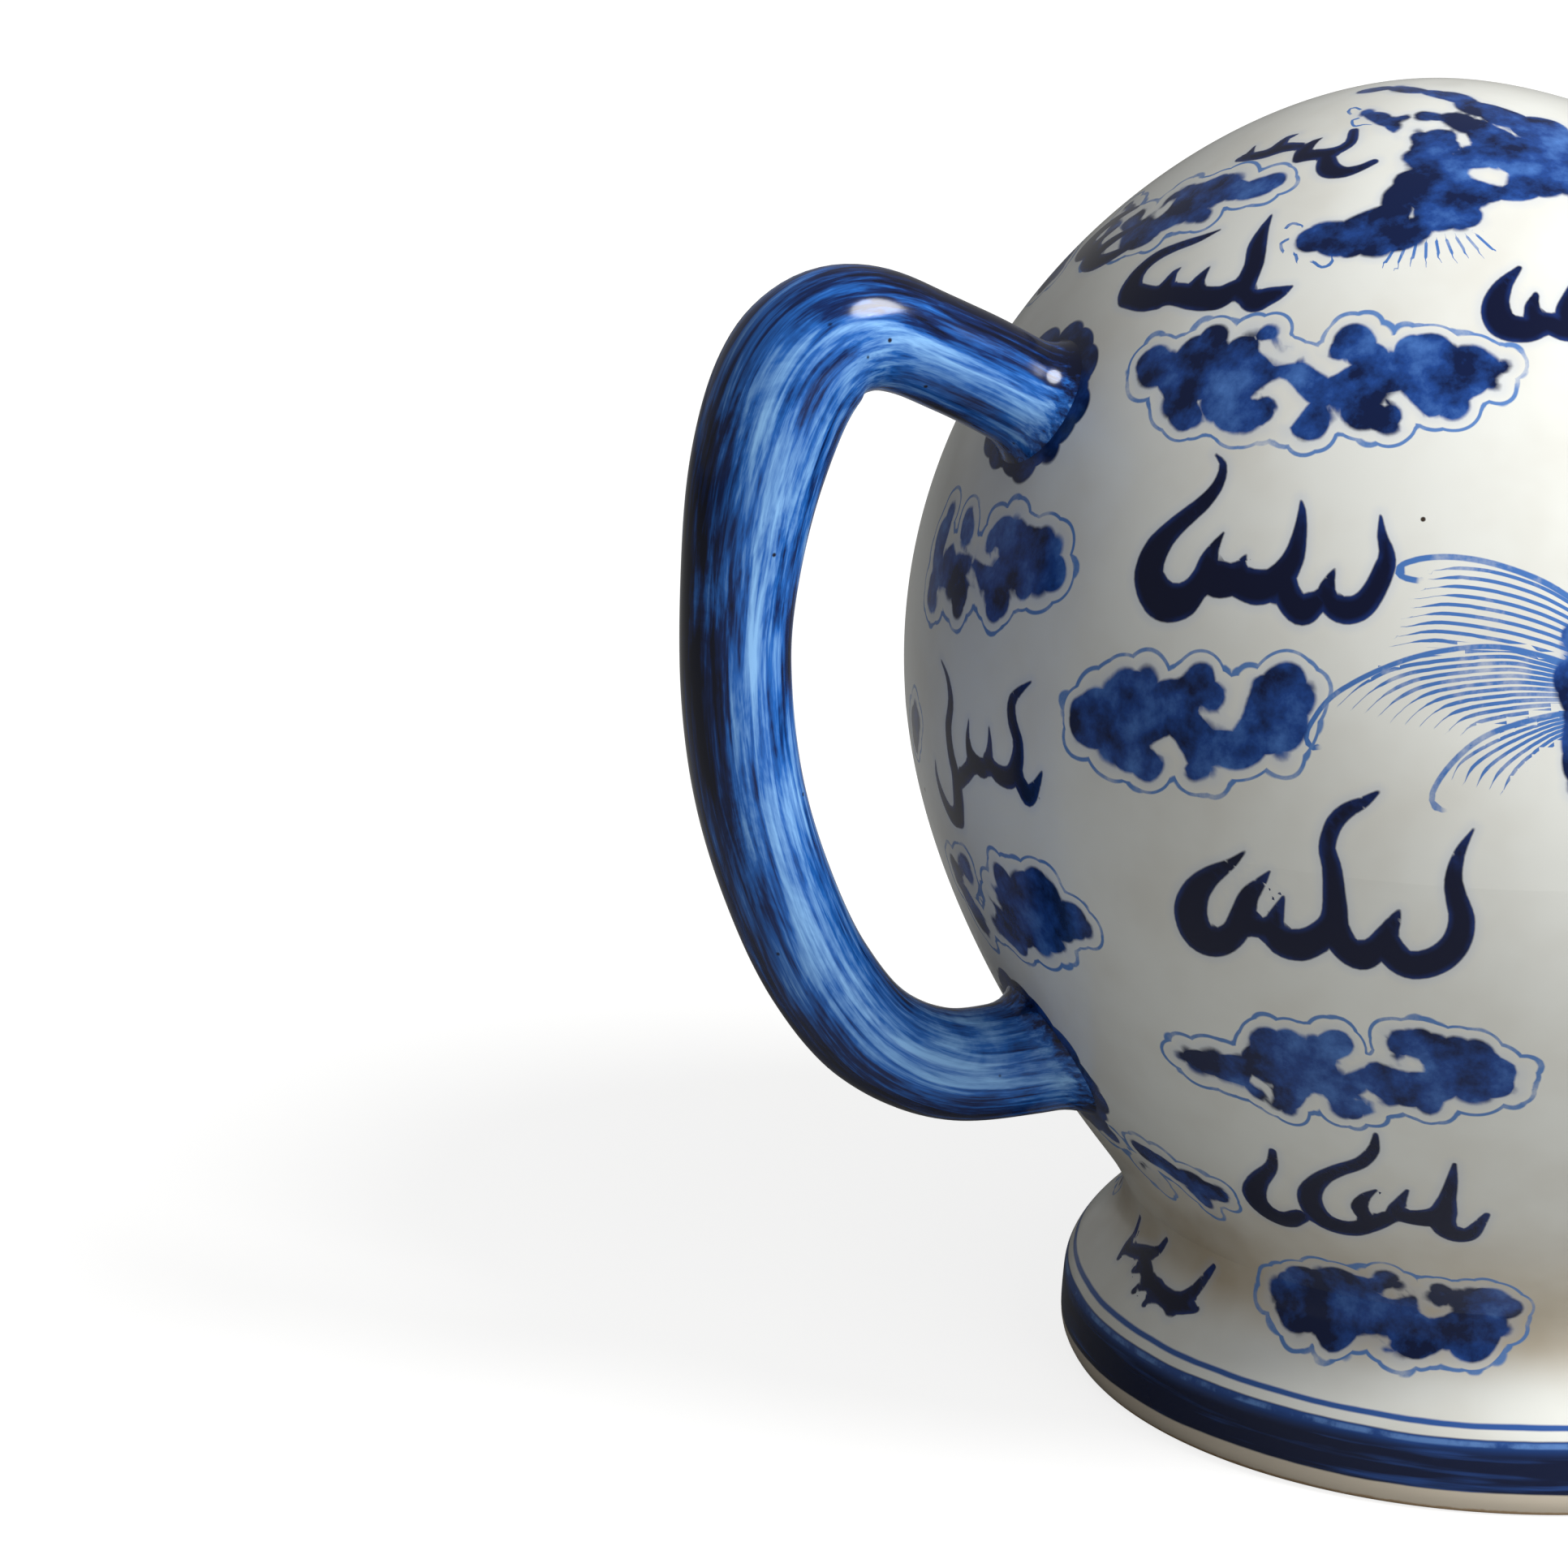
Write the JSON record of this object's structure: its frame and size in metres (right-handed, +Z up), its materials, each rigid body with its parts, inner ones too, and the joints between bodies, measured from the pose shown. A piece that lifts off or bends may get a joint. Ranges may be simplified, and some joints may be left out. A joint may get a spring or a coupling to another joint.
{
  "type": "cadogan teapot",
  "caption": "Lidless peach-shaped porcelain pot with a loop handle, a hollow spout and a spreading foot, filled through a tube in its base",
  "frame": {"origin": "on the ground under the middle of the foot", "axes": "+X towards the spout, +Z up, the handle stands out towards -X"},
  "size_m": [0.191, 0.1276, 0.14],
  "materials": {
    "painted_porcelain": "underglaze blue painting under a clear gloss glaze",
    "cobalt_glaze": "mottled cobalt under a clear gloss glaze",
    "bare_porcelain": "unglazed, fired"
  },
  "bodies": {
    "root": {"body_dome": "painted_porcelain", "body_bowl": "painted_porcelain", "foot_ring": "painted_porcelain", "filling_tube": "bare_porcelain", "handle": "cobalt_glaze", "handle_root_upper": "cobalt_glaze", "handle_root_lower": "cobalt_glaze", "spout": "cobalt_glaze", "spout_collar": "cobalt_glaze"}
  },
  "joints": []
}
